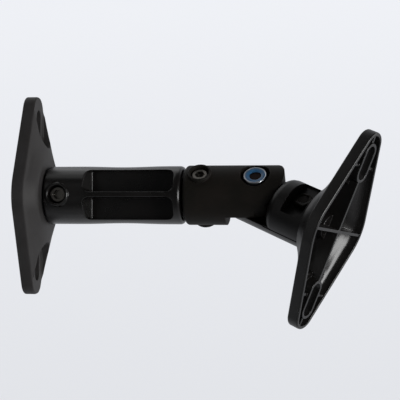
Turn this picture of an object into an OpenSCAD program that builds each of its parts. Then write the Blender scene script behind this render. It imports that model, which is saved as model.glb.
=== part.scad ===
/* [Plates] */
// Height of each diamond plate, tip to tip
plate_h = 121; // [110:1:140]
// Angle of the plate's long sides to its long axis
side_slope = 23; // [20:0.5:25]
// Radius of the two pointed tips
tip_r = 9; // [8:0.5:11]
// Radius of the two wide corners
corner_r = 27; // [20:1:32]
// Height of the plate's straight rim
rim_t = 6.4; // [5:0.1:7]
// Height of the plate from its back to the top of the flare
flare_t = 14.9; // [13:0.1:17]
// How far the top of the flare stands out beyond the arm
flare_lip = 3.9; // [2:0.1:4.5]
// Height to which the wall plate's rim rounds up before its flare begins
wall_rise = 2.1; // [1:0.1:2.2]
// Fullness of the wall plate's flare, where 1 is a straight cone
wall_dome = 1.35; // [0.7:0.05:1.4]
// Height to which the speaker plate's rim rounds up before its flare begins
speaker_rise = 1.2; // [1:0.1:2.2]
// Fullness of the speaker plate's flare, where 1 is a straight cone
speaker_dome = 0.75; // [0.7:0.05:1.4]
// Wall thickness of the moulded shell
wall = 2.4; // [2:0.1:3]
// Thickness of the ribs on the hollow side
rib_t = 1.8; // [1.4:0.1:2.4]
// Distance from the middle to the short ribs beside the slots
short_rib = 39.5; // [38:0.5:44]

/* [Screw slots] */
// Distance between the middles of the two slots
slot_pitch = 84; // [82:0.5:86]
// Width of a slot
slot_w = 8.2; // [6.5:0.1:8.6]
// Length of a slot between the middles of its round ends
slot_l = 12; // [9:0.5:12.5]
// Width of the wide recess round a slot, which runs out at the plate's tip
recess_w = 18.4; // [16:0.2:19]
// Distance from the plate's middle to the middle of the recess's round end
recess_in = 38; // [36:0.5:40]
// Height of the recess floor above the back of the plate
recess_z = 7.6; // [6.8:0.1:7.6]

/* [Arm] */
// Gap between a plate or arm and the sleeve next to it
joint_gap = 1; // [0.6:0.1:1.5]
// Radius of the arm at its two ends
arm_r = 17.5; // [16.5:0.1:18]
// How much slimmer the arm is in the middle
arm_waist = 0.55; // [0:0.05:1]
// Length of the arm's body
arm_l = 83.6; // [78:0.1:84]
// Thickness of the arm's central rib
arm_rib = 3.2; // [3:0.1:5]
// Thickness of the arm's upright web
arm_web = 3; // [2.5:0.1:5]
// Height of the arm's pockets above its axis
pocket_z = 14.8; // [13.5:0.1:15]
// How much longer the arm's pockets are at their mouths than at their floors
pocket_lean = 2.2; // [0:0.1:3]

/* [Sleeve joints] */
// Radius of the spigots that turn in the sleeves
spigot_r = 9; // [8.5:0.1:9.2]
// Length of a spigot beyond the face it stands on
spigot_l = 21; // [19:0.5:22]
// Distance from a sleeve's end to the middle of its lock screw
lock_in = 9.2; // [8.5:0.1:11]
// Half of the angle through which a sleeve turns on its spigot
lock_swing = 45; // [20:1:45]
// Radius of the raised ring round a lock screw
boss_r = 7.2; // [6.6:0.1:7.5]
// Height of that ring above the surface it stands on
boss_h = 0.9; // [0.4:0.1:1.4]
// Height of the ring round the elbow's lock nut
nut_boss_h = 2.6; // [0.8:0.1:3]
// Radius of the hole in which the screw's head sits
recess_r = 5.5; // [5.3:0.1:6]

/* [Elbow and neck] */
// Radius of the elbow and the neck
elbow_r = 17.8; // [17:0.1:18]
// Distance from the wall to the pivot bolt
pivot_x = 143.1; // [140:0.1:160]
// Distance from the pivot bolt to the back of the speaker plate
reach = 58.9; // [57:0.1:66]
// Radius of the rounded ends of the half lap
lap_r = 17.4; // [16.5:0.1:17.4]
// Place of the half lap's mating plane, below the pivot's middle
lap_offset = 2; // [0:0.1:3]
// Radius of the sunk seats for the pivot's nut and head
seat_r = 8.8; // [8.5:0.1:10]

/* [Pose as shown] */
// Roll of the elbow from level towards upright
roll = 45; // [2:0.5:88]
// Bend of the neck at the pivot bolt
bend = 32; // [-70:0.5:70]
// Turn of the speaker plate on the neck
twist = 45.5; // [2:0.5:88]

/* [Hidden] */
$fn = 64;

BLACK = "#2b2926";
STEEL = "#1d1d1f";
ZINC = "#b9bec4";
NYLON = "#2f6f9f";

// running clearance between a spigot and its sleeve, on the radius
fit = 0.08;
half_h = plate_h / 2;
sharp_w = tip_r * cos(side_slope)
        + (half_h - tip_r + tip_r * sin(side_slope)) * tan(side_slope);
half_w = sharp_w - corner_r * (1 / cos(side_slope) - 1);
flare_r = arm_r + flare_lip;

arm_x0 = flare_t + joint_gap;
arm_x1 = arm_x0 + arm_l;
arm_lock_x = arm_x0 + lock_in - 0.6;
elbow_x0 = arm_x1 + joint_gap;
elbow_lock_x = elbow_x0 + lock_in + 0.6;
lap_gap = 0.15;
shoulder = lap_r + 0.4;
neck_end = reach - flare_t - joint_gap;
neck_lock_t = neck_end - lock_in + 0.6;

// lock screws: a low head, a shank and a hexagon socket
head_r = 5;
head_h = 4;
shank_r = 3;
nut_af = 10;
nut_h = 5;
arm_seat = 10.6;
arm_nut_seat = 12;
elbow_seat = 12.8;
elbow_nut_seat = 14.7;
neck_seat = 12.6;
neck_nut_seat = 10.6;
neck_nut_h = 3;
washer_t = 1.6;
neck_pocket_h = 13.2;

// pivot: an M8 bolt with a locking nut
bolt_r = 4;
pivot_nut_af = 13;
pivot_nut_h = 8;
pivot_seat = 6.6;
pivot_far_seat = 10.4;
bolt_head_h = 5.3;
insert_r = 5.7;

// Frames. Each rotation turns a piece modelled along X into its place.
module elbow_frame() rotate([90 - roll, 0, 0]) children();
module neck_frame()
    elbow_frame() translate([pivot_x, 0, 0]) rotate([0, 0, -bend]) children();
module speaker_frame()
    neck_frame() translate([reach, 0, 0]) rotate([90 + twist, 0, 0])
    rotate([0, 180, 0]) children();

// Turns a profile of [distance along X, radius] points about the X axis.
module turned(profile)
    rotate([90, 0, 90]) rotate_extrude($fn = 96)
    polygon([for (p = profile) [p[1], p[0]]]);

// A round rod along X, Y or Z from one coordinate to another.
module rod_x(r, a, b) translate([a, 0, 0]) rotate([0, 90, 0]) cylinder(r = r, h = b - a);
module rod_y(r, a, b) translate([0, a, 0]) rotate([-90, 0, 0]) cylinder(r = r, h = b - a);
module rod_z(r, a, b) translate([0, 0, a]) cylinder(r = r, h = b - a);

// Corner points of a rounded rectangle from a to b.
function rounded(a, b, r, n = 5) = [
    for (c = [[b[0], b[1], 0], [a[0], b[1], 90], [a[0], a[1], 180], [b[0], a[1], 270]])
    for (i = [0 : n])
    let (t = c[2] + 90 * i / n, sx = c[0] == b[0] ? -1 : 1, sy = c[1] == b[1] ? -1 : 1)
    [c[0] + sx * r + r * cos(t), c[1] + sy * r + r * sin(t)]];

// An upright slot shape in the plate's plane, standing along X from a to b.
module slot_prism(z, len, w, a, b) {
    for (end = [-1, 1]) translate([0, 0, z + end * len / 2]) rod_x(w / 2, a, b);
    translate([a, -w / 2 + 0.01, z - len / 2]) cube([b - a, w - 0.02, len]);
}

// Diamond outline of the plates as a ring of points, moved in by o.
corner_x = half_w - corner_r;
function quarter(o) = concat(
    [for (i = [0 : 5]) let (t = side_slope * i / 5)
        [corner_x + (corner_r - o) * cos(t), (corner_r - o) * sin(t)]],
    let (a = [corner_x + (corner_r - o) * cos(side_slope), (corner_r - o) * sin(side_slope)],
         b = [(tip_r - o) * cos(side_slope),
              half_h - tip_r + (tip_r - o) * sin(side_slope)])
    [for (i = [1 : 7]) a + (b - a) * i / 8],
    [for (i = [0 : 7]) let (t = side_slope + (90 - side_slope) * i / 7)
        [(tip_r - o) * cos(t), half_h - tip_r + (tip_r - o) * sin(t)]]);
function ring(o) = let (q = quarter(o), n = len(q)) concat(
    q,
    [for (i = [n - 2 : -1 : 0]) [-q[i][0], q[i][1]]],
    [for (i = [1 : n - 1]) [-q[i][0], -q[i][1]]],
    [for (i = [n - 2 : -1 : 1]) [q[i][0], -q[i][1]]]);

// Height of the flare's surface, from the rim (w = 0) to the neck (w = 1).
function flare_x(w, front, dome) =
    front + (flare_t - front) * (dome * w + (1 - dome) * pow(w, 3));

// One ring of the flare: part of the way from the outline to a circle.
function flare_ring(o, r, w, x) = [for (p = ring(o))
    let (t = atan2(p[1], p[0]), c = r * [cos(t), sin(t)], q = p + (c - p) * w)
    [x, q[0], q[1]]];

// A closed solid through a list of rings.
module loft(rings) {
    n = len(rings[0]);
    m = len(rings);
    polyhedron(
        points = [for (r = rings) for (p = r) p],
        faces = concat(
            [[for (i = [0 : n - 1]) i]],
            [for (k = [0 : m - 2]) for (i = [0 : n - 1]) let (j = (i + 1) % n)
                each [[k * n + i, (k + 1) * n + i, k * n + j],
                      [k * n + j, (k + 1) * n + i, (k + 1) * n + j]]],
            [[for (i = [n - 1 : -1 : 0]) (m - 1) * n + i]]));
}

STEPS = [0.14, 0.28, 0.42, 0.56, 0.7, 0.85];

// Outside of a plate: straight rim, rounded edge, domed flare.
module plate_outside(front, dome)
    loft(concat(
        [flare_ring(0.6, 1, 0, 0), flare_ring(0, 1, 0, 0.6), flare_ring(0, 1, 0, rim_t),
         flare_ring(0.4, 1, 0, rim_t + (front - rim_t) * 0.6), flare_ring(1.5, 1, 0, front)],
        [for (w = STEPS) flare_ring(1.5, flare_r, w, flare_x(w, front, dome))],
        [flare_ring(1.5, flare_r, 1, flare_t)]));

// Inside of a plate: follows the flare at the thickness of the wall.
module plate_inside(front, dome)
    loft(concat(
        [flare_ring(wall - 0.4, 1, 0, -1), flare_ring(wall, 1, 0, front - wall - 1.8),
         flare_ring(wall + 1.2, 1, 0, front - wall - 0.2)],
        [for (w = STEPS)
            flare_ring(wall + 1.2, flare_r - wall, w, flare_x(w, front, dome) - wall)],
        [flare_ring(wall + 1.2, flare_r - wall, 0.98, flare_t - wall)]));

// Ribs and slot walls that stand up inside the hollow.
module plate_ribs() {
    in = 0.5;
    translate([in, -rib_t / 2, -slot_pitch / 2]) cube([20, rib_t, slot_pitch]);
    translate([in, -40, -rib_t / 2]) cube([20, 80, rib_t]);
    rod_x(7.5, flare_t - 7.5, flare_t);
    for (s = [-1, 1]) {
        slot_prism(s * slot_pitch / 2, slot_l, slot_w + 2 * rib_t, 0.2, 20);
        recess_prism(s, recess_w + 2 * rib_t, recess_z - rib_t, 20);
        translate([1.4, -20, s * short_rib - rib_t / 2]) cube([18, 40, rib_t]);
        translate([1.4, -rib_t / 2, s * half_h - 7]) cube([18, rib_t, 14]);
    }
}

// Shape of the recess on side s, from its round inner end past the tip.
module recess_prism(s, w, a, b) {
    len = half_h + 4 - recess_in;
    slot_prism(s * (recess_in + len / 2), len, w, a, b);
}

// Slots that let the lock screw swing through a spigot.
module swing_slots(x, mid) {
    w = shank_r + 0.4;
    a = lock_swing + 1.5;
    far = spigot_r * 1.9;
    translate([x - w, 0, 0]) rotate([90, 0, 90]) linear_extrude(2 * w)
    for (s = [0, 180]) rotate(mid + s)
    polygon([[0, -w / cos(a)], [far * cos(a) - w * sin(a), -far * sin(a) - w * cos(a)],
             [far, 0], [far * cos(a) - w * sin(a), far * sin(a) + w * cos(a)],
             [0, w / cos(a)]]);
}

// A diamond plate with its spigot. mid is where the lock slots point.
module plate(mid, lock_x, rise, dome) {
    front = rim_t + rise;
    difference() {
        union() {
            plate_outside(front, dome);
            turned([[flare_t - 3, 0], [flare_t - 3, spigot_r + 2], [flare_t, spigot_r + 2],
                    [flare_t + 0.4, spigot_r + 0.6], [flare_t + 0.4, spigot_r],
                    [flare_t + spigot_l - 1, spigot_r], [flare_t + spigot_l, spigot_r - 1],
                    [flare_t + spigot_l, 0]]);
        }
        difference() {
            plate_inside(front, dome);
            plate_ribs();
        }
        for (s = [-1, 1]) {
            slot_prism(s * slot_pitch / 2, slot_l, slot_w, -1, 30);
            recess_prism(s, recess_w, recess_z, 30);
        }
        // hollow of the spigot, open at its free end
        rod_x(spigot_r - 3.6, flare_t - 3.5, flare_t + spigot_l + 1);
        swing_slots(lock_x, mid);
    }
}

// Raised ring round a lock screw on a surface of radius r, with a soft edge.
module lock_boss(r, high = boss_h) {
    h = r + high;
    rotate([0, -90, 0]) turned([[r - 5, 0], [r - 5, boss_r], [h - 0.7, boss_r],
                                [h - 0.25, boss_r - 0.2], [h, boss_r - 0.7], [h, 0]]);
}

// Hole for a lock screw's head, down to its seat, with a broken edge.
module lock_recess(seat, r) {
    h = r + boss_h;
    rotate([0, -90, 0]) turned([[seat, 0], [seat, recess_r], [h - 0.4, recess_r],
                                [h + 0.3, recess_r + 0.7], [h + 0.3, 0]]);
}

module hexagon(af, a, b) translate([0, 0, a]) cylinder(r = af / 2 / cos(30), h = b - a, $fn = 6);

module wall_plate() color(BLACK) plate(0, arm_lock_x, wall_rise, wall_dome);

// One of the arm's pockets, above the rib on the +Y side. Its wall next to
// the sleeve leans, so that the pocket gets longer towards its mouth.
module arm_pocket() {
    x0 = arm_x0 + 24;
    x1 = arm_x1 - 4.6;
    intersection() {
        rotate([-90, 0, 0]) mirror([0, 1, 0]) linear_extrude(30)
            polygon(rounded([x0, arm_rib / 2], [x1, pocket_z], 4));
        linear_extrude(30)
            polygon([[x0 + pocket_lean, arm_web / 2], [x1 + 1, arm_web / 2], [x1 + 1, 29],
                     [x0 + pocket_lean * (1 - 29 / arm_r), 29]]);
    }
}

// Extension arm: sleeve, four-pocket beam and spigot in one moulding.
module arm() color(BLACK)
    difference() {
        union() {
            turned(concat(
                [[arm_x0, 0], [arm_x0, arm_r - 0.7], [arm_x0 + 0.6, arm_r]],
                [for (i = [0 : 10]) let (u = i / 10)
                    [arm_x0 + 20 + (arm_l - 30) * u, arm_r - arm_waist * pow(sin(180 * u), 2)]],
                [[arm_x1 - 2.2, arm_r], [arm_x1 - 1, arm_r - 0.5], [arm_x1 - 0.3, arm_r - 1.3],
                 [arm_x1, arm_r - 2.4], [arm_x1, spigot_r + 2], [arm_x1 + 0.4, spigot_r + 0.6],
                 [arm_x1 + 0.4, spigot_r], [arm_x1 + spigot_l - 1, spigot_r],
                 [arm_x1 + spigot_l, spigot_r - 1], [arm_x1 + spigot_l, 0]]));
            arm_lock_frame() lock_boss(arm_r);
        }
        // sleeve bore for the wall plate's spigot
        rod_x(spigot_r + fit, arm_x0 - 1, flare_t + spigot_l + 1);
        // pockets either side of the web, above and below the rib
        for (sy = [-1, 1], sz = [-1, 1]) mirror([0, sy - 1, 0]) mirror([0, 0, sz - 1]) arm_pocket();
        arm_lock_frame() {
            rod_z(shank_r + 0.3, -30, 30);
            lock_recess(arm_seat, arm_r);
            hexagon(nut_af + 0.3, -30, -arm_nut_seat);
        }
        swing_slots(elbow_lock_x, 135);
    }

// Low-head lock screw along Z. seat is where its head rests.
module lock_screw(seat, far) {
    difference() {
        union() {
            rotate([0, -90, 0]) turned([[seat, 0], [seat, head_r], [seat + head_h - 0.6, head_r],
                    [seat + head_h, head_r - 0.6], [seat + head_h, 0]]);
            rod_z(shank_r, -far, seat + 0.5);
        }
        translate([0, 0, seat + head_h - 2.6]) hexagon(5, 0, 5);
    }
}

// Hexagon nut along Z between a and b, with its corners turned off.
module hex_nut(af, bore, a, b) {
    difference() {
        intersection() {
            hexagon(af, a, b);
            translate([0, 0, a]) rotate([0, -90, 0])
            turned([[0, 0], [0, af * 0.5], [0.5, af * 0.56], [0.5, af * 0.6], [b - a - 0.8, af * 0.6],
                    [b - a - 0.8, af * 0.57], [b - a, af * 0.52], [b - a, 0]]);
        }
        rod_z(bore, a - 1, b + 1);
    }
}

module arm_lock_frame() translate([arm_lock_x, 0, 0]) rotate([90, 0, 0]) children();
module arm_lock_screw() color(STEEL) arm_lock_frame() lock_screw(arm_seat, arm_nut_seat + nut_h);
module arm_lock_nut() color(STEEL) arm_lock_frame()
    mirror([0, 0, 1]) hex_nut(nut_af, shank_r, arm_nut_seat, arm_nut_seat + nut_h);

// Elbow: sleeve at one end, half-lap cheek at the other.
module elbow() color(BLACK) elbow_frame()
    difference() {
        union() {
            turned([[elbow_x0, 0], [elbow_x0, elbow_r - 2], [elbow_x0 + 0.4, elbow_r - 1],
                    [elbow_x0 + 1.1, elbow_r - 0.3], [elbow_x0 + 2, elbow_r],
                    [pivot_x + 20, elbow_r], [pivot_x + 20, 0]]);
            translate([elbow_lock_x, 0, 0]) {
                lock_boss(elbow_r);
                mirror([0, 0, 1]) lock_boss(elbow_r, nut_boss_h);
            }
        }
        // far half cut away for the neck's tongue
        translate([pivot_x - shoulder, -30, -30]) cube([60, 60, 30 - lap_offset + lap_gap]);
        // rounded end about the pivot
        difference() {
            translate([pivot_x, -30, -30]) cube([30, 60, 60]);
            translate([pivot_x, 0, 0]) rod_z(lap_r, -31, 31);
        }
        rod_x(spigot_r + fit, elbow_x0 - 1, arm_x1 + spigot_l + 1);
        translate([elbow_lock_x, 0, 0]) {
            rod_z(shank_r + 0.3, -30, 30);
            lock_recess(elbow_seat, elbow_r);
            mirror([0, 0, 1]) rod_z(6.4, elbow_nut_seat, 30);
        }
        translate([pivot_x, 0, 0]) {
            rod_z(bolt_r + 0.1, -30, 30);
            rod_z(seat_r, pivot_seat, 30);
        }
    }

module elbow_lock_frame() elbow_frame() translate([elbow_lock_x, 0, 0]) children();
module elbow_lock_screw() color(STEEL) elbow_lock_frame()
    lock_screw(elbow_seat, elbow_nut_seat + washer_t + nut_h + 0.6);
module elbow_lock_washer() color(STEEL) elbow_lock_frame() mirror([0, 0, 1])
    difference() {
        rod_z(6.2, elbow_nut_seat, elbow_nut_seat + washer_t);
        rod_z(shank_r + 0.2, 0, 30);
    }
module elbow_lock_nut() color(STEEL) elbow_lock_frame() mirror([0, 0, 1])
    hex_nut(nut_af, shank_r, elbow_nut_seat + washer_t, elbow_nut_seat + washer_t + nut_h);

// Pivot: bolt, two washers and a locking nut with its nylon ring.
module pivot_frame() elbow_frame() translate([pivot_x, 0, 0]) children();
module pivot_bolt() color(ZINC) pivot_frame() {
    end = pivot_seat + washer_t + pivot_nut_h - 1;
    rotate([0, -90, 0]) turned([[-pivot_far_seat - washer_t, 0], [-pivot_far_seat - washer_t, bolt_r],
                                [end - 0.9, bolt_r], [end, bolt_r - 0.9], [end, 0]]);
    intersection() {
        hexagon(pivot_nut_af, -pivot_far_seat - washer_t - bolt_head_h, -pivot_far_seat - washer_t);
        translate([0, 0, -pivot_far_seat - washer_t]) rotate([0, 90, 0])
        turned([[0, 0], [0, 8], [bolt_head_h - 1, 8], [bolt_head_h - 1, 7.4],
                [bolt_head_h, 6.2], [bolt_head_h, 0]]);
    }
}
module pivot_washer(a) difference() {
    rod_z(8, a, a + washer_t);
    rod_z(bolt_r + 0.2, a - 1, a + washer_t + 1);
}
module pivot_head_washer() color(ZINC) pivot_frame() pivot_washer(-pivot_far_seat - washer_t);
module pivot_nut_washer() color(ZINC) pivot_frame() pivot_washer(pivot_seat);
module pivot_nut() color(ZINC) pivot_frame() translate([0, 0, pivot_seat + washer_t])
    difference() {
        union() {
            hex_nut(pivot_nut_af, bolt_r, 0, 6);
            rotate([0, -90, 0]) turned([[5, 0], [5, 6.4], [7.2, 6.4], [7.8, 6.1], [8, 5.7], [8, 0]]);
        }
        rod_z(bolt_r, -1, 5.2);
        rod_z(insert_r, 5.2, 9);
    }
module pivot_nut_insert() color(NYLON) pivot_frame() translate([0, 0, pivot_seat + washer_t])
    difference() {
        rod_z(insert_r, 5.2, 7.8);
        rod_z(bolt_r, 5, 9);
    }

// Neck: half-lap tongue at one end, sleeve at the other.
module neck() color(BLACK) neck_frame()
    difference() {
        union() {
            intersection() {
                turned([[-20, 0], [-20, elbow_r], [neck_end - 0.6, elbow_r], [neck_end - 0.6, 0]]);
                translate([-20, -30, -30]) cube([90, 60, 30 - lap_offset - lap_gap]);
            }
            turned([[shoulder, 0], [shoulder, elbow_r - 2.6], [shoulder + 0.8, elbow_r - 1.5],
                    [shoulder + 2.4, elbow_r - 0.5], [shoulder + 4.6, elbow_r],
                    [neck_end - 0.7, elbow_r], [neck_end, elbow_r - 0.7], [neck_end, 0]]);
            translate([neck_lock_t, 0, 0]) mirror([0, 0, 1]) lock_boss(elbow_r);
        }
        // rounded end about the pivot
        difference() {
            translate([-30, -30, -30]) cube([30, 60, 60]);
            rod_z(lap_r, -31, 31);
        }
        rod_x(spigot_r + fit, neck_end - spigot_l, neck_end + 1);
        // wide pocket with cut corners round the thin lock nut
        translate([0, 0, neck_nut_seat]) linear_extrude(10)
            let (a = shoulder + 9.8, b = neck_end - 1.7, h = neck_pocket_h, c = 3)
            polygon([[a, h], [a, -h], [b - c, -h], [b, c - h], [b, h - c], [b - c, h]]);
        // groove along both sides, where the lap's mating plane runs on
        for (side = [-1, 1]) translate([shoulder - 1, side * elbow_r - 0.8, -lap_offset - 1])
            cube([40, 1.6, 1]);
        translate([neck_lock_t, 0, 0]) {
            rod_z(shank_r + 0.3, -30, 30);
            mirror([0, 0, 1]) lock_recess(neck_seat, elbow_r);
        }
        // bore and sunk seat for the pivot bolt
        rod_z(bolt_r + 0.1, -30, 30);
        rod_z(seat_r, -30, -pivot_far_seat);
    }

module neck_lock_frame() neck_frame() translate([neck_lock_t, 0, 0]) children();
module neck_lock_screw() color(STEEL) neck_lock_frame()
    mirror([0, 0, 1]) lock_screw(neck_seat, neck_nut_seat + neck_nut_h);
module neck_lock_nut() color(STEEL) neck_lock_frame()
    hex_nut(nut_af, shank_r, neck_nut_seat, neck_nut_seat + neck_nut_h);

module speaker_plate() color(BLACK) speaker_frame()
    plate(45, reach - neck_lock_t, speaker_rise, speaker_dome);

wall_plate();
arm();
arm_lock_screw();
arm_lock_nut();
elbow();
elbow_lock_screw();
elbow_lock_washer();
elbow_lock_nut();
pivot_bolt();
pivot_head_washer();
pivot_nut_washer();
pivot_nut();
pivot_nut_insert();
neck();
neck_lock_screw();
neck_lock_nut();
speaker_plate();
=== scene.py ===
# Speaker wall bracket: diamond wall plate, extension arm, elbow, tilting neck and speaker plate.
import math
import bpy
from mathutils import Matrix, Vector


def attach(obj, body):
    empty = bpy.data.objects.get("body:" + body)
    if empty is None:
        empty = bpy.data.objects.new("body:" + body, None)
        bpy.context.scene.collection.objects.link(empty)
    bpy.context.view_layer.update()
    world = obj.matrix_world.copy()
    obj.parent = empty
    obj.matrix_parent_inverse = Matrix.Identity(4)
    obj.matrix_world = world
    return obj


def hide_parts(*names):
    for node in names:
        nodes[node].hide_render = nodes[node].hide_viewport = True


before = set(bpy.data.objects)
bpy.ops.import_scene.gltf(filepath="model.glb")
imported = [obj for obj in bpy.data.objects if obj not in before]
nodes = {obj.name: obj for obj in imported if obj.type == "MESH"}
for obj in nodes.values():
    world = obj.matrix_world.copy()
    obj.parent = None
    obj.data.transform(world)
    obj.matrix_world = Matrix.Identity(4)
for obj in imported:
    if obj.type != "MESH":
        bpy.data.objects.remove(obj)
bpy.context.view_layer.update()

# Camera: a long lens in front of the bracket's speaker end and a little below the arm, aimed
# back at the bracket's middle. The frame is in metres.
mm = 0.001
camera_place = Vector((232.96, -707.47, -28.09)) * mm
camera_turn = math.radians(9.979)
camera_lift = math.radians(2.012)
camera_roll = math.radians(0.348)
camera_data = bpy.data.cameras.new("camera")
camera_data.lens = 108
camera_data.sensor_width = 36
camera = bpy.data.objects.new("camera", camera_data)
bpy.context.scene.collection.objects.link(camera)
camera.matrix_world = (
    Matrix.Translation(camera_place)
    @ Matrix.Rotation(camera_turn, 4, "Z")
    @ Matrix.Rotation(math.radians(90) + camera_lift, 4, "X")
    @ Matrix.Rotation(camera_roll, 4, "Z")
)
bpy.context.scene.camera = camera
bpy.context.scene.view_settings.view_transform = "Standard"


# Floor and backdrop: one roll of pale photographic paper that lies flat under the bracket
# and curves up behind it, matt. The camera sees it pale, with the bracket's soft shadow and a
# painted glow that grows lighter higher up; in reflections its glow is painted darker towards the
# camera.
def linear(code):
    """The linear colour of an sRGB hex code."""
    values = [int(code[i:i + 2], 16) / 255 for i in (1, 3, 5)]
    return [v / 12.92 if v < 0.04045 else ((v + 0.055) / 1.055) ** 2.4 for v in values] + [1]


def node(tree, kind, settings=None, **links):
    """Adds a shader node, with its settings, and links or sets its inputs by name or number."""
    made = tree.nodes.new(kind)
    for key, value in (settings or {}).items():
        setattr(made, key, value)
    for key, value in links.items():
        socket = made.inputs[int(key[1:])] if key[1:].isdigit() else made.inputs[key.replace("_", " ")]
        if isinstance(value, bpy.types.NodeSocket):
            tree.links.new(value, socket)
        else:
            socket.default_value = value
    return made


def new_material(name):
    """A material with an empty node tree, its tree, and its output node."""
    material = bpy.data.materials.new(name)
    material.use_nodes = True
    material.node_tree.nodes.clear()
    return material, material.node_tree, material.node_tree.nodes.new("ShaderNodeOutputMaterial")


paper_height = -0.3
paper_front = -3.0
paper_back = 1.6
paper_bend = 0.7
paper_top = 2.6
paper_width = 6.0
bpy.ops.object.select_all(action="DESELECT")
bpy.ops.mesh.primitive_plane_add(size=1, location=(0, 0, 0))
paper_sheet = bpy.context.object
paper_sheet.name = "paper_sheet"
paper_sheet.data.transform(
    Matrix.Translation((0, (paper_front + paper_back) / 2, paper_height))
    @ Matrix.Diagonal((paper_width, paper_back - paper_front, 1, 1))
)
bpy.ops.object.mode_set(mode="EDIT")
bpy.ops.mesh.select_all(action="DESELECT")
bpy.ops.object.mode_set(mode="OBJECT")
for edge in paper_sheet.data.edges:
    ends = [paper_sheet.data.vertices[i].co.y for i in edge.vertices]
    edge.select = min(ends) > paper_back - 0.001
bpy.ops.object.mode_set(mode="EDIT")
bpy.ops.mesh.select_mode(type="EDGE")
bpy.ops.mesh.extrude_region_move(TRANSFORM_OT_translate={"value": (0, 0, paper_top - paper_height)})
bpy.ops.object.mode_set(mode="OBJECT")
paper_curve = paper_sheet.modifiers.new("paper_curve", "BEVEL")
paper_curve.limit_method = "ANGLE"
paper_curve.width = paper_bend
paper_curve.segments = 14
bpy.ops.object.modifier_apply(modifier=paper_curve.name)
bpy.ops.object.shade_smooth()

paper_colour = linear("#f8faff")
paper_shadow = 0.1
matt_share = 0.8
# painted light: the camera sees the paper's glow rise from seen_low at the floor to seen_high at
# seen_high_z
seen_low = 0.88
seen_high = 1.0
seen_high_z = 0.43
# painted reflection: in reflections the paper glows mirrored_bright behind the bracket and is painted
# down to mirrored_dark towards the camera
mirrored_bright = 0.62
mirrored_bright_y = 0.1
mirrored_dark = 0.06
mirrored_dark_y = -0.3
paper, tree, output = new_material("pale_matt_paper")
seen = node(tree, "ShaderNodeLightPath").outputs
spot = node(tree, "ShaderNodeSeparateXYZ", Vector=node(tree, "ShaderNodeTexCoord").outputs["Object"])
dim = node(tree, "ShaderNodeMapRange", Value=spot.outputs["Y"], From_Min=mirrored_dark_y,
           From_Max=mirrored_bright_y, To_Min=mirrored_dark, To_Max=mirrored_bright)
glow = node(tree, "ShaderNodeMapRange", Value=spot.outputs["Z"], From_Min=paper_height,
            From_Max=seen_high_z, To_Min=seen_low, To_Max=seen_high)
pale = node(tree, "ShaderNodeMath", {"operation": "MULTIPLY"},
            i0=seen["Is Camera Ray"], i1=glow.outputs[0])
strength = node(tree, "ShaderNodeMath", {"operation": "MAXIMUM"}, i0=pale.outputs[0], i1=dim.outputs[0])
flat = node(tree, "ShaderNodeEmission", Color=paper_colour, Strength=strength.outputs[0])
matt = node(tree, "ShaderNodeBsdfDiffuse", Color=[c * matt_share for c in paper_colour[:3]] + [1])
shade = node(tree, "ShaderNodeMixShader", i0=paper_shadow, i1=flat.outputs[0], i2=matt.outputs[0])
straight = node(tree, "ShaderNodeMath", {"operation": "MAXIMUM"},
                i0=seen["Is Camera Ray"], i1=seen["Is Transmission Ray"])
straight = node(tree, "ShaderNodeMath", {"operation": "MAXIMUM"},
                i0=straight.outputs[0], i1=seen["Is Glossy Ray"])
mixed = node(tree, "ShaderNodeMixShader",
             i0=straight.outputs[0], i1=matt.outputs[0], i2=shade.outputs[0])
tree.links.new(mixed.outputs[0], output.inputs[0])
paper_sheet.data.materials.append(paper)

# Lamps and room: soft boxes above, on the right and on the left, in a dim room whose walls
# look pale behind the bracket. A smaller box in front on the right shines into the speaker
# plate's hollow side.
world = bpy.data.worlds.new("dim_room")
bpy.context.scene.world = world
world.use_nodes = True
room = world.node_tree
room.nodes.clear()
room_light = 0.04
seen = node(room, "ShaderNodeLightPath").outputs
way = node(room, "ShaderNodeSeparateXYZ", Vector=node(room, "ShaderNodeTexCoord").outputs["Generated"])
behind = node(room, "ShaderNodeMapRange", Value=way.outputs["Y"])
straight = node(room, "ShaderNodeMath", {"operation": "MAXIMUM"},
                i0=seen["Is Glossy Ray"], i1=seen["Is Transmission Ray"])
mirrored = node(room, "ShaderNodeMath", {"operation": "MULTIPLY"},
                i0=straight.outputs[0], i1=behind.outputs[0])
strength = node(room, "ShaderNodeMath", {"operation": "MAXIMUM"}, i0=mirrored.outputs[0], i1=room_light)
strength = node(room, "ShaderNodeMath", {"operation": "MAXIMUM"},
                i0=strength.outputs[0], i1=seen["Is Camera Ray"])
air = node(room, "ShaderNodeBackground", Color=paper_colour, Strength=strength.outputs[0])
node(room, "ShaderNodeOutputWorld", Surface=air.outputs[0])


def soft_box(name, place, aim, size, power):
    """A rectangular lamp at place that faces aim."""
    data = bpy.data.lights.new(name, "AREA")
    data.shape = "RECTANGLE"
    data.size, data.size_y = size
    data.energy = power
    lamp = bpy.data.objects.new(name, data)
    bpy.context.scene.collection.objects.link(lamp)
    lamp.location = place
    lamp.visible_camera = False
    lamp.rotation_euler = (Vector(aim) - Vector(place)).to_track_quat("-Z", "Y").to_euler()


arm_middle = (0.1, 0, 0)
plate_hollow = (0.19, 0, -0.035)
soft_box("top_box", (-0.5, 0.3, 1.0), arm_middle, (1.2, 1.2), 3)
soft_box("right_box", (1.4, 0.2, 0.0), arm_middle, (1.0, 1.8), 7)
soft_box("key_box", (0.89, -0.56, -0.03), plate_hollow, (0.5, 0.4), 6)
soft_box("left_box", (-0.3, -0.5, 0.0), arm_middle, (0.3, 1.2), 0.35)


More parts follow.
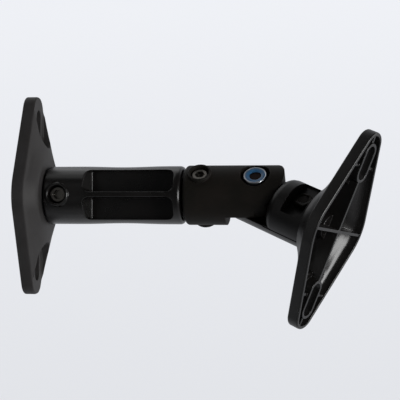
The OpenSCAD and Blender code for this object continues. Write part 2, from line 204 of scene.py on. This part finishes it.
# Wall plate: one moulding of black glass-filled nylon, screwed to the wall through its two
# slots. The tool leaves small rounded edges, and the arm sits on the spigot at its middle.
def moulded_nylon(name, tone, gloss, polished=None, specular=0.5):
    """Nylon from a fine spark-eroded tool, faintly cloudy between two tones and in its gloss.
    polished is the direction that the smooth side of the tool's core faces."""
    grain_mm = 0.45
    grain_depth_mm = 0.02
    grain_strength = 0.25
    cloud_mm = 14
    cloud_dark, cloud_light = 0.35, 0.65
    gloss_spread = 0.04
    polished_rough = 0.26
    facing_from, facing_to = 0.25, 0.45
    material, tree, output = new_material(name)
    spots = node(tree, "ShaderNodeTexCoord").outputs
    grain = node(tree, "ShaderNodeTexNoise", Vector=spots["Object"], Scale=1 / (grain_mm * mm), Detail=2)
    cloud = node(tree, "ShaderNodeTexNoise", Vector=spots["Object"], Scale=1 / (cloud_mm * mm), Detail=3)
    tint = node(tree, "ShaderNodeValToRGB", Fac=cloud.outputs[0])
    tint.color_ramp.elements[0].position = cloud_dark
    tint.color_ramp.elements[0].color = linear(tone[0])
    tint.color_ramp.elements[1].position = cloud_light
    tint.color_ramp.elements[1].color = linear(tone[1])
    rough = node(tree, "ShaderNodeMapRange", Value=cloud.outputs[0],
                 To_Min=gloss - gloss_spread, To_Max=gloss + gloss_spread).outputs[0]
    if polished is not None:
        facing = node(tree, "ShaderNodeVectorMath", {"operation": "DOT_PRODUCT"},
                      i0=spots["Normal"], i1=polished)
        side = node(tree, "ShaderNodeMapRange", Value=facing.outputs["Value"],
                    From_Min=facing_from, From_Max=facing_to)
        rough = node(tree, "ShaderNodeMix", Factor=side.outputs[0], A=rough, B=polished_rough).outputs[0]
    bump = node(tree, "ShaderNodeBump", Height=grain.outputs[0], Strength=grain_strength,
                Distance=grain_depth_mm * mm)
    surface = node(tree, "ShaderNodeBsdfPrincipled", Base_Color=tint.outputs[0], Roughness=rough,
                   IOR=1.52, Specular_IOR_Level=specular, Normal=bump.outputs[0])
    tree.links.new(surface.outputs[0], output.inputs[0])
    return material


def rounded_part(name, new_name, body, material, edge_mm, clamp=False):
    """Stands for a CAD node: a merged copy whose sharp edges are rounded as its tool leaves them.
    clamp keeps the rounding no wider than the piece's shortest edges allow."""
    same_point_mm = 0.01
    flat_within = math.radians(1)
    shortest_edge_mm = 0.12
    sharp_from = math.radians(32)
    smooth_below = math.radians(40)
    sliver_mm = 0.002
    piece = bpy.data.objects.new(new_name, nodes[name].data.copy())
    bpy.context.scene.collection.objects.link(piece)
    bpy.ops.object.select_all(action="DESELECT")
    piece.select_set(True)
    bpy.context.view_layer.objects.active = piece
    bpy.ops.object.mode_set(mode="EDIT")
    bpy.ops.mesh.select_mode(type="VERT")
    bpy.ops.mesh.select_all(action="SELECT")
    bpy.ops.mesh.remove_doubles(threshold=same_point_mm * mm)
    bpy.ops.mesh.dissolve_limited(angle_limit=flat_within)
    bpy.ops.mesh.select_all(action="SELECT")
    bpy.ops.mesh.remove_doubles(threshold=shortest_edge_mm * mm)
    bpy.ops.object.mode_set(mode="OBJECT")
    rounding = piece.modifiers.new("edge_rounding", "BEVEL")
    rounding.limit_method = "ANGLE"
    rounding.angle_limit = sharp_from
    rounding.width = edge_mm * mm
    rounding.segments = 2
    rounding.use_clamp_overlap = clamp
    rounding.miter_outer = "MITER_ARC"
    bpy.ops.object.modifier_apply(modifier=rounding.name)
    bpy.ops.object.shade_smooth_by_angle(angle=smooth_below)
    weighting = piece.modifiers.new("face_weighting", "WEIGHTED_NORMAL")
    weighting.keep_sharp = True
    bpy.ops.object.modifier_apply(modifier=weighting.name)
    bpy.ops.object.mode_set(mode="EDIT")
    bpy.ops.mesh.select_all(action="SELECT")
    bpy.ops.mesh.dissolve_degenerate(threshold=sliver_mm * mm)
    bpy.ops.object.mode_set(mode="OBJECT")
    piece.data.materials.clear()
    piece.data.materials.append(material)
    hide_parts(name)
    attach(piece, body)


# painted light: the wall plate's nylon is painted lighter than the other mouldings' nylon, for light on
# its rim and face
wall_plate_nylon_painted_light = moulded_nylon("black_nylon_matt_painted_light", ("#2c2a29", "#323030"), 0.6,
                                 polished=(-1, 0, 0), specular=0.4)
rounded_part("wall_plate", "wall_plate_moulding", "wall_plate", wall_plate_nylon_painted_light,
             edge_mm=0.4)

# Arm: one moulding of the same nylon with a sleeve over the wall plate's spigot, a beam with
# four pockets round a central rib, and a spigot for the elbow. Its finish is a little shinier.
arm_nylon = moulded_nylon("black_nylon_satin_face", ("#0c0b0a", "#110f0e"), 0.28)
rounded_part("arm", "arm_moulding", "arm", arm_nylon, edge_mm=0.5)


# Lock screws with their nuts and washer: M6 socket screws of blackened steel that clamp each
# sleeve on its spigot. They are cold-formed and blackened. On the arm and elbow they are painted lighter
# grey, painted light; on the neck they are painted near black, the painted shade of its pocket.
def metal(name, colour, rough):
    """A metal with a cloudy shine and softened edges."""
    cloud_mm = 1.5
    soft_edge_mm = 0.2
    rough_spread = 0.06
    material, tree, output = new_material(name)
    place = node(tree, "ShaderNodeTexCoord").outputs["Object"]
    cloud = node(tree, "ShaderNodeTexNoise", Vector=place, Scale=1 / (cloud_mm * mm), Detail=3)
    shine = node(tree, "ShaderNodeMapRange", Value=cloud.outputs[0],
                 To_Min=rough - rough_spread, To_Max=rough + rough_spread)
    softened = node(tree, "ShaderNodeBevel", {"samples": 6}, Radius=soft_edge_mm * mm)
    surface = node(tree, "ShaderNodeBsdfPrincipled", Base_Color=linear(colour), Metallic=1.0,
                   Roughness=shine.outputs[0], Normal=softened.outputs[0])
    tree.links.new(surface.outputs[0], output.inputs[0])
    return material


fastener_edge_mm = 0.3  # the nuts and the bolt are clamped, so theirs come out far smaller
# painted light: blackened steel painted a lighter grey so that the arm and elbow screw heads show
steel_painted_light = metal("blackened_steel_painted_light_grey", "#6c6964", 0.33)
# painted shade: the neck's screw and nut painted near black, as the shade in its pocket
steel_painted_pocket_shade = metal("blackened_steel_painted_pocket_shade", "#1c1a18", 0.5)
for name, body, material in (
    ("arm_lock_screw", "arm", steel_painted_light),
    ("arm_lock_nut", "arm", steel_painted_light),
    ("elbow_lock_screw", "elbow", steel_painted_light),
    ("elbow_lock_washer", "elbow", steel_painted_light),
    ("elbow_lock_nut", "elbow", steel_painted_light),
    ("neck_lock_screw", "neck", steel_painted_pocket_shade),
    ("neck_lock_nut", "neck", steel_painted_pocket_shade),
):
    rounded_part(name, name + "_steel", body, material, fastener_edge_mm,
                 clamp=name.endswith("nut"))

# Elbow: one moulding with a sleeve over the arm's spigot and the near cheek of the half lap.
# Its face is duller than the arm's, from a coarser spark finish in the tool.
elbow_nylon = moulded_nylon("black_nylon_dull_face", ("#15130f", "#1b1713"), 0.6, specular=0.15)
rounded_part("elbow", "elbow_moulding", "elbow", elbow_nylon, edge_mm=0.3)

# Pivot: an M8 bolt of phosphated steel through the half lap, with zinc-plated washers and a
# locking nut. The nut's collar is rolled over a blue nylon ring that grips the bolt's thread.
pivot_from_wall_mm = 143.1
elbow_roll_at_rest = math.radians(45)
pivot_nut_foot_mm = 8.2
head_washer_low_mm = -11.98
nut_washer_low_mm = 6.62
turned_sides = 72
pivot_turn = (Matrix.Translation((pivot_from_wall_mm * mm, 0, 0))
              @ Matrix.Rotation(elbow_roll_at_rest, 4, "X"))


def turned_ring(name, profile, place, body, material):
    """A ring turned about the Z axis from a closed profile of radius and height in millimetres."""
    bpy.ops.object.select_all(action="DESELECT")
    bpy.ops.mesh.primitive_circle_add(vertices=turned_sides, radius=profile[0][0] * mm,
                                      location=(0, 0, 0))
    piece = bpy.context.object
    piece.name = name
    bpy.ops.object.mode_set(mode="EDIT")
    bpy.ops.mesh.select_all(action="SELECT")
    bpy.ops.transform.translate(value=(0, 0, profile[0][1] * mm))
    for (r0, h0), (r1, h1) in zip(profile, profile[1:] + profile[:1]):
        bpy.ops.mesh.extrude_region_move(TRANSFORM_OT_translate={"value": (0, 0, (h1 - h0) * mm)})
        bpy.ops.transform.resize(value=(r1 / r0, r1 / r0, 1))
    bpy.ops.mesh.select_all(action="SELECT")
    bpy.ops.mesh.remove_doubles(threshold=0.01 * mm)
    bpy.ops.mesh.normals_make_consistent(inside=False)
    bpy.ops.object.mode_set(mode="OBJECT")
    piece.matrix_world = place
    bpy.ops.object.transform_apply(location=True, rotation=True, scale=True)
    bpy.ops.object.shade_smooth_by_angle(angle=math.radians(50))
    piece.data.materials.append(material)
    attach(piece, body)
    return piece


zinc = metal("bright_zinc_plate", "#b4b9bf", 0.3)
phosphate = metal("phosphated_steel", "#1f1613", 0.5)
blue_nylon = moulded_nylon("blue_locking_nylon", ("#28567c", "#30658f"), 0.35)
for name, low in (("pivot_head_washer", head_washer_low_mm), ("pivot_nut_washer", nut_washer_low_mm)):
    washer = turned_ring(
        name + "_steel",
        [(r, h + low) for r, h in
         [(4.2, 0.1), (4.3, 0.0), (7.75, 0.0), (7.95, 0.08), (8.0, 0.25), (8.0, 1.3),
          (7.95, 1.48), (7.75, 1.55), (4.3, 1.55), (4.2, 1.45)]],
        pivot_turn, "elbow", zinc)
    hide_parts(name)
rounded_part("pivot_bolt", "pivot_bolt_steel", "elbow", phosphate, fastener_edge_mm,
             clamp=True)

nut_corner_mm = 7.5
nut_body_mm = 6.4
nut_bore_mm = 4.0
nut_top_chamfer_mm = 1.3
nut_foot_chamfer_mm = 0.5
drill_length_mm = 20
bpy.ops.object.select_all(action="DESELECT")
bpy.ops.mesh.primitive_cylinder_add(vertices=6, radius=nut_corner_mm * mm, depth=nut_body_mm * mm,
                                    location=(0, 0, nut_body_mm / 2 * mm))
nut = bpy.context.object
nut.name = "pivot_locking_nut"
bpy.ops.object.transform_apply(location=True, rotation=True, scale=True)
for high, chamfer_mm in ((True, nut_top_chamfer_mm), (False, nut_foot_chamfer_mm)):
    bpy.ops.object.mode_set(mode="EDIT")
    bpy.ops.mesh.select_mode(type="FACE")
    bpy.ops.mesh.select_all(action="DESELECT")
    bpy.ops.object.mode_set(mode="OBJECT")
    for face in nut.data.polygons:
        face.select = (face.normal.z > 0.9) if high else (face.normal.z < -0.9)
    bpy.ops.object.mode_set(mode="EDIT")
    bpy.ops.mesh.region_to_loop()
    bpy.ops.mesh.bevel(offset=chamfer_mm * mm, segments=2, profile=0.5)
    bpy.ops.object.mode_set(mode="OBJECT")
bpy.ops.mesh.primitive_cylinder_add(vertices=turned_sides, radius=nut_bore_mm * mm,
                                    depth=drill_length_mm * mm)
drill = bpy.context.object
bpy.ops.object.select_all(action="DESELECT")
nut.select_set(True)
bpy.context.view_layer.objects.active = nut
bore = nut.modifiers.new("thread_bore", "BOOLEAN")
bore.operation = "DIFFERENCE"
bore.object = drill
bpy.ops.object.modifier_apply(modifier=bore.name)
bpy.data.objects.remove(drill)
nut_turn = Matrix.Rotation(math.radians(30), 4, "Z")
nut.matrix_world = pivot_turn @ Matrix.Translation((0, 0, pivot_nut_foot_mm * mm)) @ nut_turn
bpy.ops.object.transform_apply(location=True, rotation=True, scale=True)
bpy.ops.object.shade_smooth_by_angle(angle=math.radians(25))
nut.data.materials.append(zinc)
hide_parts("pivot_nut")
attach(nut, "elbow")

locking_ring = turned_ring(
    "nut_locking_ring",
    [(r, h + pivot_nut_foot_mm) for r, h in
     [(4.0, 5.2), (6.2, 5.2), (6.2, 7.5), (6.05, 7.8), (5.7, 7.9), (4.5, 7.8), (3.9, 7.6),
      (3.5, 7.3), (3.5, 7.1), (4.0, 7.0)]],
    pivot_turn, "elbow", blue_nylon)
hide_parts("pivot_nut_insert")
turned_ring(
    "nut_rolled_collar",
    [(r, h + pivot_nut_foot_mm) for r, h in
     [(6.2, 5.4), (6.9, 5.4), (6.95, 7.3), (6.85, 7.7), (6.6, 7.95), (6.3, 8.0), (6.0, 7.9),
      (5.85, 7.75), (6.05, 7.65), (6.2, 7.5)]],
    pivot_turn, "elbow", zinc)

# Neck: one moulding with the far half of the lap, a dark pocket that holds the lock screw's
# nut, and a sleeve over the speaker plate's spigot. Its nylon is painted darkest of them, a painted
# shade, and its edges are the sharpest, because a wider rounding breaks on its shortest edges.
neck_nylon_painted_shade = moulded_nylon("black_nylon_painted_shade", ("#0a0908", "#0e0c0b"), 0.36, specular=0.3)
rounded_part("neck", "neck_moulding", "neck", neck_nylon_painted_shade, edge_mm=0.15)

# Speaker plate: a moulding much like the wall plate, turned round and seen from its hollow
# side, where the tool's core was polished so that the deep ribs let go of it.
speaker_plate_faces = Vector((0.848, -0.375, -0.375))
speaker_nylon = moulded_nylon("black_nylon_polished_core", ("#0e0d0c", "#131110"), 0.4,
                              polished=speaker_plate_faces)
rounded_part("speaker_plate", "speaker_plate_moulding", "speaker_plate", speaker_nylon,
             edge_mm=0.35)
